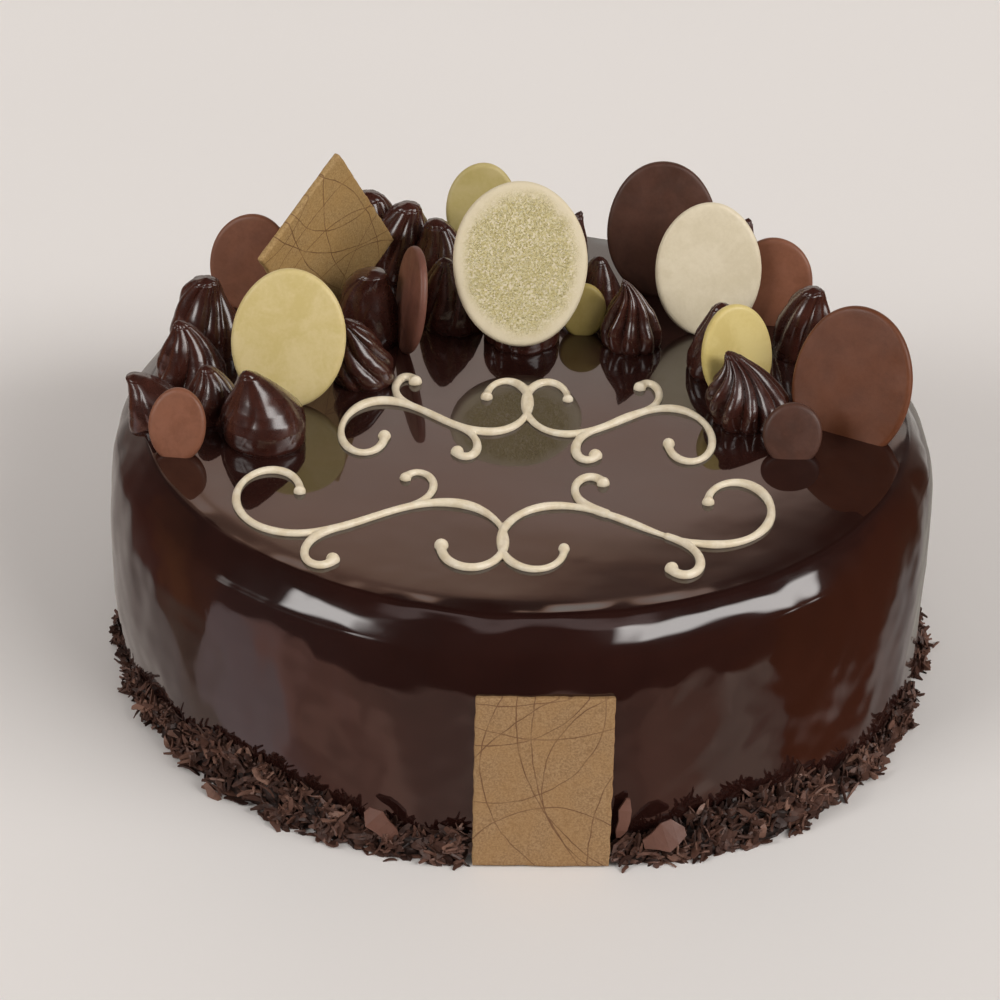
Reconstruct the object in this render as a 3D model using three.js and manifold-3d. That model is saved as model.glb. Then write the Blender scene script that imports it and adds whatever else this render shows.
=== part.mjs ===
// Chocolate mud cake: a low round cake under a dark mirror glaze, with a collar of chocolate
// shavings round its foot, a thin printed chocolate plaque on its front, and on top an arc of
// piped ganache rosettes, chocolate discs and a second plaque, behind two piped cream scrolls.
// Millimetres, +Z up. The origin is the middle of the underside. The front faces -Y.
import * as THREE from 'three';
import { mergeVertices } from 'three/addons/utils/BufferGeometryUtils.js';
import Module from 'manifold-3d';

const wasm = await Module();
wasm.setup();

// ---------------------------------------------------------------- driving sizes
const CAKE_H = 68.2; // height of the flat glazed top
const R_FOOT = 107.4; // radius where the cake stands
const R_MAX = 109.4; // widest radius, where the side swells
const Z_MAX = 41; // height of the widest radius
const R_FLAT = 99.9; // radius of the flat top
const RIM_POWER = 1.75; // how full the side rounds over to the top: 1 is a straight slope, 2 an ellipse
const SWAY = -1.05; // how far the glaze carries the side off centre to the left, between foot and rim
const CAKE_SIDES = 56;

const GAP = 0.3; // clearance between touching pieces

const COLLAR_H = 12.5; // mean height of the shavings against the side
const COLLAR_T = 6.2; // mean reach of the shavings beyond the foot
// Where they lie higher or lower and further or less far out: direction and spread in degrees,
// height, reach.
const COLLAR_SWELLS = [[-52, 20, 2.5, 4.6], [-73, 9, -5, 0.6], [-105, 13, -4, 0.8], [-131, 10, 5, 1], [-160, 22, 0, -2.6], [-6, 26, -4.5, -1.8], [180, 20, -3.5, -0.6]];
const COLLAR_SIDES = 42;

const PLAQUE_T = 1.8; // thickness of the printed plaques
const FRONT_PLAQUE = { w: 34.4, h: 49, x: 6.1, y: -110.7, turn: -2, lean: 2.5 };
const TOP_PLAQUE = { w: 36.4, h: 46.8, apex: [-52.4, 45, 119.2], turn: -52, lean: -5.6, roll: 36.1 };

const EDGE = 1.1; // how far the soft edge of a disc runs in
const DISC_SIDES = 20;

const BEAD = 1.1; // half width of a piped cream line
const BEAD_STEP = 5.9; // length of one step along a piped line

// Chocolate discs: centre x, y, z, half width, half height, thickness, turn about the vertical
// (positive faces left), lean back and roll in its own plane, in degrees.
const DISCS = {
  disc_milk_back_left: ['milk', -76.4, 54.8, 80.1, 11.7, 13.6, 2.6, 12, 18, 0],
  disc_yellow_left: ['yellow', -63.3, 4.2, 84.7, 15.2, 18.7, 2.8, 4, 20, -3],
  disc_milk_small_left: ['milk', -90.2, -26.5, 75.5, 7.5, 9.9, 2.8, 8, 20, 0],
  disc_dark_turned: ['dark', -31.8, 31.8, 82.4, 12.2, 15.2, 2.2, 75, 8, 0],
  disc_yellow_back: ['yellow', -13.8, 91.1, 80.0, 10.2, 13.3, 2.6, 0, 14, 0],
  disc_speckled: ['speckled', -2.8, 35.1, 92.7, 18.2, 22.1, 3.2, -2, 28, 0],
  disc_yellow_tiny: ['yellow', 14.7, 43.4, 74.5, 6.3, 7.6, 2.6, 0, 14, 0],
  disc_dark_back: ['dark', 36.4, 70.5, 85.6, 15.4, 19.2, 2.6, 0, 16, 0],
  disc_white: ['white', 48.6, 49.1, 84.8, 14.6, 18.4, 2.8, -4, 20, 0],
  disc_milk_back_right: ['milk', 66.7, 53.3, 79.3, 10.9, 12.6, 2.6, 6, 16, 0],
  disc_yellow_small: ['yellow', 55.2, 10.7, 80.1, 11.0, 13.6, 2.6, -33, 18, 0],
  disc_milk_right: ['milk', 84.8, -4.4, 80.4, 16.5, 21.2, 2.6, 28, 20, 0],
  disc_dark_small: ['dark', 69.0, -19.4, 73.6, 7.7, 8.5, 2.8, 0, 22, 0],
};

// Ganache rosettes: x, y of the foot, radius, height, sideways lean of the tip in x and y,
// number of ridges, twist of the ridges in degrees, slimness of the outline (1 is plain).
const ROSETTES = {
  rosette_front_left: [-67.9, -18.3, 11.0, 21.3, -3.9, -2.0, 6, 40, 1.0],
  rosette_left_front: [-89.4, 8.8, 9.0, 19.4, -2.1, 0.0, 7, 20, 0.9],
  rosette_left_back: [-86.6, 28.6, 9.6, 22.8, -2.2, 0.5, 7, 60, 0.6],
  rosette_left_inner: [-82.6, -7.6, 7.4, 14.8, -0.8, 0.5, 7, 40, 0.8],
  rosette_left_rim: [-94.2, -8.4, 8.2, 12.2, -8.0, 0.4, 6, 20, 0.6],
  rosette_mid_left: [-43.7, 13.8, 8.2, 18.8, -3.8, 0.0, 7, -110, 0.8],
  rosette_mid_left_back: [-43.6, 37.2, 8.4, 22.2, -1.0, 0.0, 6, 50, 0.5],
  rosette_back_a: [-44.5, 82.0, 9.0, 21.8, 0.6, -1.0, 7, 50, 0.55],
  rosette_back_b: [-34.2, 76.0, 9.2, 22.0, -1.8, 0.0, 7, 60, 0.6],
  rosette_back_c: [-23.6, 67.6, 8.8, 20.8, -1.8, 0.0, 7, 50, 0.65],
  rosette_mid_back: [-20.6, 46.6, 9.0, 20.4, -4.2, 0.0, 7, 60, 0.9],
  rosette_centre: [-2.0, 38.6, 10.4, 19.0, 0.0, 1.0, 7, 50, 1.0],
  rosette_back_mid: [8.6, 72.4, 7.6, 22.0, 4.4, 0.0, 7, 60, 1.0],
  rosette_back_low: [19.5, 56.0, 6.6, 16.4, -1.2, 0.0, 6, 50, 0.8],
  rosette_mid_right: [28.4, 38.8, 9.0, 20.4, -1.6, 0.0, 9, 20, 1.25],
  rosette_right_inner: [51.5, 24.0, 8.8, 20.4, 0.8, 0.0, 7, 50, 0.8],
  rosette_right: [58.7, -1.0, 11.0, 18.6, -5.2, 2.0, 9, 20, 1.05],
  rosette_right_back: [73.9, 35.8, 8.8, 20.8, 0.6, 0.0, 7, 60, 0.6],
  rosette_back_right: [57.5, 72.5, 8.0, 21.0, 1.5, 0.5, 7, 60, 1.0],
};

// Piped cream scrolls: middle x, y, half span, how much taller than wide they are drawn, and
// which way the outer curls open.
const SCROLLS = {
  piping_upper: { x: 0, y: -6.5, half: 48.5, tall: 1.75, up: 1 },
  piping_lower: { x: -5.5, y: -58.5, half: 68, tall: 1.4, up: -1 },
};
const STEM_TILT = -27; // slope of the stem of a scroll where it is straightest, in degrees
const CURL_TURNS = 0.84; // turns in each end of a stem
// Tendrils: the share of the stem where they leave it, length in stem spans, turns.
const TENDRILS = [[0.44, 0.36, -0.66], [0.56, 0.36, -0.66]];

const FINISH = {
  glaze: { color: 0x2a1410, roughness: 0.12 },
  ganache: { color: 0x2c1612, roughness: 0.22 },
  shavings: { color: 0x3d2a23, roughness: 0.55 },
  transfer: { color: 0x957452, roughness: 0.5 },
  milk: { color: 0x7a4e38, roughness: 0.42 },
  dark: { color: 0x4c3228, roughness: 0.42 },
  yellow: { color: 0xc5b47c, roughness: 0.42 },
  white: { color: 0xd2c6ab, roughness: 0.42 },
  speckled: { color: 0xbfb286, roughness: 0.6 },
  cream: { color: 0xe2d8c0, roughness: 0.35 },
};

// ---------------------------------------------------------------- helpers
const rad = THREE.MathUtils.degToRad;

// A closed three.js geometry as a solid, in the place a matrix gives it.
function solidOf(geometry, matrix) {
  let g = geometry.clone();
  g.deleteAttribute('normal');
  g.deleteAttribute('uv');
  if (matrix) g.applyMatrix4(matrix);
  g = mergeVertices(g, 1e-4);
  const index = [];
  const from = g.index.array;
  for (let i = 0; i < from.length; i += 3) {
    const [a, b, c] = [from[i], from[i + 1], from[i + 2]];
    if (a !== b && b !== c && c !== a) index.push(a, b, c);
  }
  return new wasm.Manifold(new wasm.Mesh({
    numProp: 3,
    vertProperties: new Float32Array(g.attributes.position.array),
    triVerts: new Uint32Array(index),
  }));
}

// A solid as a three.js geometry again, seen from inside a placed object.
function geometryOf(solid, matrix) {
  const mesh = solid.getMesh();
  const g = new THREE.BufferGeometry();
  g.setAttribute('position', new THREE.BufferAttribute(new Float32Array(mesh.vertProperties), 3));
  g.setIndex(new THREE.BufferAttribute(new Uint32Array(mesh.triVerts), 1));
  if (matrix) g.applyMatrix4(matrix.clone().invert());
  const flat = g.toNonIndexed();
  flat.computeVertexNormals();
  return flat;
}

// The largest of the bodies a cut leaves.
function largest(solid) {
  const bodies = solid.decompose();
  return bodies.reduce((best, s) => (s.volume() > best.volume() ? s : best), bodies[0]);
}

function boxesMeet(a, b) {
  const [p, q] = [a.boundingBox(), b.boundingBox()];
  return [0, 1, 2].every((i) => p.min[i] < q.max[i] && q.min[i] < p.max[i]);
}

// A turned form about Z from [radius, height] pairs that start and end on the axis or close on
// themselves, with its seam joined.
function turned(profile, sides) {
  const g = new THREE.LatheGeometry(profile.map(([r, z]) => new THREE.Vector2(r, z)), sides)
    .rotateX(Math.PI / 2);
  g.deleteAttribute('normal');
  g.deleteAttribute('uv');
  return mergeVertices(g, 1e-5);
}

function bend(geometry, move) {
  const p = geometry.attributes.position;
  const v = new THREE.Vector3();
  for (let i = 0; i < p.count; i++) {
    v.fromBufferAttribute(p, i);
    move(v);
    p.setXYZ(i, v.x, v.y, v.z);
  }
  return geometry;
}

const material = (kind) => new THREE.MeshStandardMaterial({ ...FINISH[kind], metalness: 0 });

// ---------------------------------------------------------------- the cake
// Radius of the side at a height up to Z_MAX, where it is widest.
function sideRadius(z) {
  const u = (Z_MAX - z) / Z_MAX;
  return R_MAX + (R_FOOT - R_MAX) * (1 - Math.cos((u * Math.PI) / 2));
}

// From there one full curve rounds over to the flat top.
function cakeProfile(grow) {
  const pts = [[0, -grow], [sideRadius(0) + grow, -grow]];
  for (const z of [14, Z_MAX]) pts.push([sideRadius(z) + grow, z]);
  for (let i = 1; i <= 6; i++) {
    const a = (i * Math.PI) / 12;
    pts.push([
      R_FLAT + (R_MAX - R_FLAT) * Math.cos(a) ** (2 / RIM_POWER) + grow * Math.cos(a),
      Z_MAX + (CAKE_H - Z_MAX) * Math.sin(a) ** (2 / RIM_POWER) + grow * Math.sin(a),
    ]);
  }
  pts.push([0, CAKE_H + grow]);
  return pts;
}

function cakeShape(grow) {
  const { smoothstep } = THREE.MathUtils;
  return bend(turned(cakeProfile(grow), CAKE_SIDES), (v) => {
    v.x += SWAY * smoothstep(v.z, 0, 25) * (1 - smoothstep(v.z, 57, CAKE_H));
  });
}
const cakeBody = solidOf(cakeShape(0));
const cakeGrown = solidOf(cakeShape(GAP));

// ---------------------------------------------------------------- plaques
// A stand turns a piece about the vertical; inside it the piece leans back from upright.
function stand(x, y, z, turn, lean) {
  const outer = new THREE.Group();
  outer.position.set(x, y, z);
  outer.rotation.z = -rad(turn);
  const inner = new THREE.Group();
  inner.rotation.x = Math.PI / 2 - rad(lean);
  outer.add(inner);
  outer.updateMatrixWorld(true);
  return { outer, inner };
}

// The front plaque stands on its lower edge; the upper one hangs from its top corner.
function frontPlaqueShape(grow) {
  const { w, h } = FRONT_PLAQUE;
  return new THREE.BoxGeometry(w + 2 * grow, h + 2 * grow, PLAQUE_T + 2 * grow)
    .translate(0, h / 2 + 0.5, 0);
}
function topPlaqueShape(grow) {
  const { w, h, roll } = TOP_PLAQUE;
  return new THREE.BoxGeometry(w + 2 * grow, h + 2 * grow, PLAQUE_T + 2 * grow)
    .translate(-w / 2, -h / 2, 0)
    .rotateZ(rad(roll));
}

// ---------------------------------------------------------------- discs
// A flat button of chocolate with a soft edge, slightly taller than wide.
function discShape([, , , , a, b, t], grow) {
  const half = t / 2 + grow;
  const run = EDGE / a;
  const profile = [[0, -half], [1 - run, -half], [1, -half * 0.35], [1, half * 0.35], [1 - run, half], [0, half]];
  return bend(turned(profile, DISC_SIDES), (v) => {
    v.x *= a + grow;
    v.y *= b + grow;
  });
}

// ---------------------------------------------------------------- rosettes
// Outline of a piped rosette: full at the foot, drawn up to a tip.
const rosetteOutline = (u) => {
  const belly = 0.86 + 0.14 * Math.sin(Math.min(u / 0.22, 1) * Math.PI * 0.5);
  return u < 0.22 ? belly : Math.pow(Math.cos(((u - 0.22) / 0.78) * Math.PI * 0.5), 1.1);
};
const ROSETTE_RINGS = [0, 0.2, 0.46, 0.7, 0.88];

function rosetteShape([x, y, r, h, leanX, leanY, ridges, twist, fine], grow) {
  const foot = CAKE_H - 6;
  const rise = CAKE_H + h + grow - foot;
  const start = (CAKE_H - foot) / rise;
  const profile = [[0, 0], [Math.pow(rosetteOutline(0), fine), 0]];
  for (const u of ROSETTE_RINGS) profile.push([Math.pow(rosetteOutline(u), fine), start + (1 - start) * u]);
  profile.push([0, 1]);
  return bend(turned(profile, ridges * 2), (v) => {
    const u = Math.max(0, (v.z - start) / (1 - start));
    const rho = Math.hypot(v.x, v.y);
    const side = Math.round((Math.atan2(v.y, v.x) / (Math.PI * 2)) * ridges * 2);
    const ridge = side % 2 === 0 ? 1 : 1 - 0.2 * Math.min(1, 1.6 * (1 - u));
    const angle = Math.atan2(v.y, v.x) + rad(twist) * u;
    const out = (r + grow) * rho * ridge;
    const drift = Math.pow(u, 1.6);
    v.set(x + out * Math.cos(angle) + leanX * drift, y + out * Math.sin(angle) + leanY * drift, foot + v.z * rise);
  });
}

// ---------------------------------------------------------------- shavings collar
// One uneven ring out to where the flakes reach, with a ragged top edge.
function collar() {
  const wave = (a, k, s) => Math.sin(a * k + s);
  const uneven = (a) => 0.35 * wave(a, 7, 1.9) + 0.4 * wave(a, 13, 0.7) + 0.3 * wave(a, 23, 2.6);
  const swell = (a, column) => COLLAR_SWELLS.reduce((sum, row) => {
    const away = THREE.MathUtils.radToDeg(a) - row[0];
    return sum + row[column] * Math.exp(-(((away - 360 * Math.round(away / 360)) / row[1]) ** 2));
  }, 0);
  const loop = [[0.3, 0], [COLLAR_T, 0], [COLLAR_T * 0.92, COLLAR_H * 0.4], [COLLAR_T * 0.5, COLLAR_H * 0.85], [0.3, COLLAR_H]];
  const ring = turned([...loop, loop[0]].map(([t, z]) => [100 + t, z]), COLLAR_SIDES);
  return bend(ring, (v) => {
    const a = Math.atan2(v.y, v.x);
    const t = Math.hypot(v.x, v.y) - 100;
    const high = v.z / COLLAR_H;
    const z = v.z * (1 + 0.1 * uneven(a + 0.8) + swell(a, 2) / COLLAR_H);
    const reach = t < 1 ? -6 : t * (1 + 0.1 * uneven(a) + swell(a, 3) / COLLAR_T) + 0.6 * high;
    const r = (t < 1 ? sideRadius(z) : R_FOOT) + reach;
    v.set(r * Math.cos(a), r * Math.sin(a), z);
  });
}

// ---------------------------------------------------------------- piped scrolls
// A curl whose curvature grows evenly along it, from a place and heading.
function curl(x, y, heading, length, bendBy, n = 60) {
  const out = [[x, y]];
  for (let i = 1; i <= n; i++) {
    const h = heading + bendBy * 2 * Math.PI * ((i / n) ** 2);
    x += (Math.cos(h) * length) / n;
    y += (Math.sin(h) * length) / n;
    out.push([x, y]);
  }
  return out;
}

// A lying S that curls in at both ends, with tendrils off its stem, from x = 0 to x = 1.
function scrollLines(tall) {
  const tilt = rad(STEM_TILT);
  const stem = [...curl(0, 0, tilt + Math.PI, 1, CURL_TURNS).reverse(), ...curl(0, 0, tilt, 1, CURL_TURNS).slice(1)];
  const xs = stem.map((p) => p[0]);
  const [low, span] = [Math.min(...xs), Math.max(...xs) - Math.min(...xs)];
  const lines = [stem];
  for (const [at, length, turns] of TENDRILS) {
    const i = Math.round(at * (stem.length - 1));
    const [p, q] = at > 0.5 ? [stem[i - 1], stem[i]] : [stem[i + 1], stem[i]];
    lines.push(curl(...q, Math.atan2(q[1] - p[1], q[0] - p[0]), length * span, turns, 30));
  }
  return lines.map((line) => line.map(([x, y]) => [(x - low) / span, (y / span) * tall]));
}

// A bead of cream laid flat on the top along a line, with a drop at each end that needs one.
function bead(points, ends) {
  const z = CAKE_H + GAP;
  const curve = new THREE.CatmullRomCurve3(points.map(([x, y]) => new THREE.Vector3(x, y, z)));
  const section = new THREE.Shape([
    [-BEAD, 0], [-BEAD * 0.6, BEAD * 1.1], [BEAD * 0.6, BEAD * 1.1], [BEAD, 0],
  ].map(([u, w]) => new THREE.Vector2(-w, u)));
  const steps = Math.round(curve.getLength() / BEAD_STEP);
  let line = solidOf(new THREE.ExtrudeGeometry(section, { steps, bevelEnabled: false, extrudePath: curve }));
  for (const end of ends) {
    const drop = new THREE.SphereGeometry(BEAD * 1.65, 6, 4).rotateX(Math.PI / 2).translate(end[0], end[1], z + BEAD * 0.35);
    line = line.add(solidOf(drop));
  }
  return line;
}

function scrollPair(row) {
  const { x, y, half, tall, up } = row;
  const reach = half + BEAD * 1.1; // the two halves overlap a little where they meet
  const parts = [];
  scrollLines(tall).forEach((line, i) => {
    const left = line.map(([u, v]) => [x - half + u * reach, y + v * half * up]);
    const right = left.map(([px, py]) => [2 * x - px, py]);
    for (const side of [left, right]) parts.push(bead(side, i === 0 ? [side[0], side.at(-1)] : [side.at(-1)]));
  });
  const under = solidOf(new THREE.BoxGeometry(240, 240, 20).translate(0, 0, CAKE_H + GAP - 10));
  return parts.reduce((all, one) => all.add(one)).subtract(under);
}

// ---------------------------------------------------------------- assembly
const cake = new THREE.Group();
const placed = []; // grown copies of the pieces already set down, which later pieces are cut clear of

function addMesh(name, kind, geometry, parent) {
  const mesh = new THREE.Mesh(geometry, material(kind));
  mesh.name = name;
  parent.add(mesh);
  return mesh;
}

function settle(solid, grown) {
  let out = solid.subtract(cakeGrown);
  for (const other of placed) if (boxesMeet(out, other)) out = out.subtract(other);
  placed.push(grown);
  return largest(out);
}

// Front plaque, pressed slightly into the glaze of the side.
const front = stand(FRONT_PLAQUE.x, FRONT_PLAQUE.y, 0, FRONT_PLAQUE.turn, FRONT_PLAQUE.lean);
cake.add(front.outer);
addMesh('plaque_front', 'transfer', frontPlaqueShape(0), front.inner);
front.outer.updateMatrixWorld(true);
const frontCut = solidOf(frontPlaqueShape(GAP), front.inner.matrixWorld);
addMesh('cake', 'glaze', geometryOf(cakeBody.subtract(frontCut)), cake);

// Shavings collar, open behind and before the front plaque.
const opening = solidOf(new THREE.BoxGeometry(FRONT_PLAQUE.w + 2 * GAP, 40, 60)
  .rotateZ(-rad(FRONT_PLAQUE.turn)).translate(FRONT_PLAQUE.x, FRONT_PLAQUE.y, 10));
addMesh('shavings_ring', 'shavings',
  geometryOf(largest(solidOf(collar()).subtract(cakeGrown).subtract(opening))), cake);

// Upper plaque, balanced on one corner with the corner sunk in the glaze.
{
  const { apex, turn, lean } = TOP_PLAQUE;
  const { outer, inner } = stand(...apex, turn, lean);
  cake.add(outer);
  const solid = settle(solidOf(topPlaqueShape(0), inner.matrixWorld), solidOf(topPlaqueShape(GAP), inner.matrixWorld));
  addMesh('plaque_top', 'transfer', geometryOf(solid, inner.matrixWorld), inner);
}

for (const [name, row] of Object.entries(DISCS)) {
  const [kind, x, y, z, , , , turn, lean, roll] = row;
  const { outer, inner } = stand(x, y, z, turn, lean);
  cake.add(outer);
  const shape = discShape(row, 0).rotateZ(rad(roll));
  const grown = discShape(row, GAP).rotateZ(rad(roll));
  const solid = settle(solidOf(shape, inner.matrixWorld), solidOf(grown, inner.matrixWorld));
  addMesh(name, kind, geometryOf(solid, inner.matrixWorld), inner);
}

for (const [name, row] of Object.entries(ROSETTES)) {
  addMesh(name, 'ganache', geometryOf(settle(solidOf(rosetteShape(row, 0)), solidOf(rosetteShape(row, GAP)))), cake);
}

for (const [name, row] of Object.entries(SCROLLS)) {
  addMesh(name, 'cream', geometryOf(settle(scrollPair(row), scrollPair(row))), cake);
}

export default cake;
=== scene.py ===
"""Looks of the chocolate mud cake: a mirror-glazed body, flakes round its foot, cast discs and
plaques, piped ganache rosettes and cream scrolls, built around the fixed frame. Sizes in the tables
are millimetres; everything is made in metres in the frame's own axes."""

import math

import bpy
import numpy as np
from mathutils import Matrix, Vector


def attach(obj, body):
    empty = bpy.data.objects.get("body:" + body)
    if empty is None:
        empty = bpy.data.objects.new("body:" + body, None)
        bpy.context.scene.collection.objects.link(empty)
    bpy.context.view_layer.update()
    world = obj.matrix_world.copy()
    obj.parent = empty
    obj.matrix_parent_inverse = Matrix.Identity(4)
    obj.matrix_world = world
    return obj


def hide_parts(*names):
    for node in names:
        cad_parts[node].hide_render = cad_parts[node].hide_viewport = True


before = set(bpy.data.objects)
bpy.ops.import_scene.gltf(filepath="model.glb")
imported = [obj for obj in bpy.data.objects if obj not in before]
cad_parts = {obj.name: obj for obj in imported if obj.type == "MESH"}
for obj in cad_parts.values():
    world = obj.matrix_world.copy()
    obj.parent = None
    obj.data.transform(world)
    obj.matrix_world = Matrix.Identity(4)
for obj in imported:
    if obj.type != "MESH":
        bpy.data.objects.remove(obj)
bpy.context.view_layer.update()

MM = 0.001
scene = bpy.context.scene

# ------------------------------------------------------------------ sizes shared with the frame
CAKE_H = 68.2
R_FLAT = 99.9
R_MAX = 109.4
R_FOOT = 107.4
Z_MAX = 41.0
SWAY = -1.05
COLLAR_H, COLLAR_T = 12.5, 6.2
COLLAR_SWELLS = [(-52, 20, 2.5, 4.6), (-73, 9, -5, 0.6), (-105, 13, -4, 0.8), (-131, 10, 3.4, 1), (-160, 22, 0, -2.6), (-6, 26, -4.5, -1.8),
                 (180, 20, -3.5, -0.6)]
PLAQUE_T = 1.8
FRONT = dict(w=34.4, h=49.0, x=6.1, y=-110.7, turn=-2.0, lean=2.5)
TOP = dict(w=36.4, h=46.8, apex=(-52.4, 45.0, 119.2), turn=-52.0, lean=-5.6, roll=36.1)
BEAD = 1.1
STEM_TILT, CURL_TURNS = -27.0, 0.84
TENDRILS = [(0.44, 0.36, -0.66), (0.56, 0.36, -0.66)]
SCROLLS = {
    "piping_upper": dict(x=0.0, y=-6.5, half=48.5, tall=1.75, up=1),
    "piping_lower": dict(x=-5.5, y=-58.5, half=68.0, tall=1.4, up=-1),
}

# kind, x, y, z, half width, half height, thickness, turn, lean, roll
DISCS = {
    "disc_milk_back_left": ("milk", -76.4, 54.8, 80.1, 11.7, 13.6, 2.6, 12, 18, 0),
    "disc_yellow_left": ("yellow", -63.3, 4.2, 84.7, 15.2, 18.7, 2.8, 4, 20, -3),
    "disc_milk_small_left": ("milk", -90.2, -26.5, 75.5, 7.5, 9.9, 2.8, 8, 20, 0),
    "disc_dark_turned": ("dark", -31.8, 31.8, 82.4, 12.2, 15.2, 2.2, 75, 8, 0),
    "disc_yellow_back": ("yellow", -13.8, 91.1, 80.0, 10.2, 13.3, 2.6, 0, 14, 0),
    "disc_speckled": ("speckled", -2.8, 35.1, 92.7, 18.2, 22.1, 3.2, -2, 28, 0),
    "disc_yellow_tiny": ("yellow", 14.7, 43.4, 74.5, 6.3, 7.6, 2.6, 0, 14, 0),
    "disc_dark_back": ("dark", 36.4, 70.5, 85.6, 15.4, 19.2, 2.6, 0, 16, 0),
    "disc_white": ("white", 48.6, 49.1, 84.8, 14.6, 18.4, 2.8, -4, 20, 0),
    "disc_milk_back_right": ("milk", 66.7, 53.3, 79.3, 10.9, 12.6, 2.6, 6, 16, 0),
    "disc_yellow_small": ("yellow", 55.2, 10.7, 80.1, 11.0, 13.6, 2.6, -33, 18, 0),
    "disc_milk_right": ("milk", 84.8, -4.4, 80.4, 16.5, 21.2, 2.6, 28, 20, 0),
    "disc_dark_small": ("dark", 69.0, -19.4, 73.6, 7.7, 8.5, 2.8, 0, 22, 0),
}

# x, y, radius, height, lean of the tip in x and y, ridges, twist, ridge depth, hook of the tip in x
# and y, start of the ridges, slimness of the outline
ROSETTES = {
    "rosette_front_left": (-67.9, -18.3, 11.0, 21.3, -3.9, -2.0, 6, 40, 0.03, -0.9, -0.6, 10, 1.0),
    "rosette_left_front": (-89.4, 8.8, 9.0, 19.4, -2.1, 0.0, 7, 20, 0.16, -1.0, -0.6, 0, 0.9),
    "rosette_left_back": (-86.6, 28.6, 9.4, 22.8, -2.4, 0.5, 7, 60, 0.13, 2.2, -1.8, 40, 0.68),
    "rosette_left_inner": (-82.6, -7.6, 7.4, 14.8, -0.8, 0.5, 7, 40, 0.12, -0.8, -0.4, 20, 0.8),
    "rosette_left_rim": (-95.6, -10.2, 8.0, 12.4, -6.6, 1.2, 6, 20, 0.08, -0.8, 0.0, 0, 0.62),
    "rosette_mid_left": (-43.7, 13.8, 8.2, 18.8, -3.8, 0.0, 7, -110, 0.15, -1.4, -0.8, 10, 0.8),
    "rosette_mid_left_back": (-43.6, 37.2, 8.4, 22.2, -1.0, 0.0, 6, 50, 0.05, 2.2, -2.0, 30, 0.5),
    "rosette_back_a": (-44.5, 82.0, 9.0, 21.8, 0.6, -1.0, 7, 50, 0.13, -1.6, 0.5, 0, 0.55),
    "rosette_back_b": (-34.2, 76.0, 9.2, 22.0, -1.8, 0.0, 7, 60, 0.10, 1.8, -0.6, 15, 0.6),
    "rosette_back_c": (-23.6, 67.6, 8.8, 20.8, -1.8, 0.0, 7, 50, 0.12, -1.0, 0.0, 30, 0.65),
    "rosette_mid_back": (-20.6, 46.6, 9.0, 20.4, -4.2, 0.0, 7, 60, 0.14, 1.2, -0.6, 45, 0.9),
    "rosette_centre": (-2.0, 38.6, 10.4, 19.0, 0.0, 1.0, 7, 50, 0.16, 0.0, 0.0, 5, 1.0),
    "rosette_back_mid": (8.6, 72.4, 7.6, 22.0, 4.4, 0.0, 7, 60, 0.15, 0.8, 0.4, 25, 1.0),
    "rosette_back_low": (19.5, 56.0, 6.6, 16.4, -1.2, 0.0, 6, 50, 0.12, 0.4, 0.2, 10, 0.8),
    "rosette_mid_right": (28.0, 37.4, 8.4, 20.4, -1.6, 0.0, 8, 14, 0.26, -1.2, -0.6, 12, 1.3),
    "rosette_right_inner": (51.5, 24.0, 8.8, 20.4, 0.8, 0.0, 7, 50, 0.15, -1.0, 0.4, 35, 0.8),
    "rosette_right": (58.7, -1.0, 11.0, 18.6, -5.2, 2.0, 11, 14, 0.25, -1.2, 0.6, 0, 1.05),
    "rosette_right_back": (74.8, 35.8, 8.2, 20.8, 0.4, 0.0, 7, 60, 0.13, 1.0, -1.6, 20, 0.62),
    "rosette_back_right": (57.5, 72.5, 8.0, 21.0, 1.5, 0.5, 7, 60, 0.15, 1.2, 0.4, 10, 1.0),
}

# ------------------------------------------------------------------ camera, stage and light
ELEV, DIST, TARGET, ROLL = math.radians(31.18), 1.1, Vector((-0.00649, 0.0, 0.03956)), math.radians(1.57)
back = Vector((0.0, -math.cos(ELEV), math.sin(ELEV)))
right = Vector((1.0, 0.0, 0.0))
up = right.cross(-back)
cam_x = right * math.cos(ROLL) + up * math.sin(ROLL)
cam_y = -right * math.sin(ROLL) + up * math.cos(ROLL)
camera = bpy.data.objects.new("camera", bpy.data.cameras.new("camera"))
scene.collection.objects.link(camera)
camera.data.sensor_width = 36.0
camera.data.lens = 36.0 * 4105.12 / 1000.0
camera.data.clip_start, camera.data.clip_end = 0.05, 30.0
camera.matrix_world = Matrix.Translation(TARGET + back * DIST) @ Matrix((cam_x, cam_y, back)).transposed().to_4x4()
scene.camera = camera
scene.view_settings.view_transform = "Standard"
scene.view_settings.look = "None"
scene.view_settings.exposure = 0.0
scene.view_settings.gamma = 1.0


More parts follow.
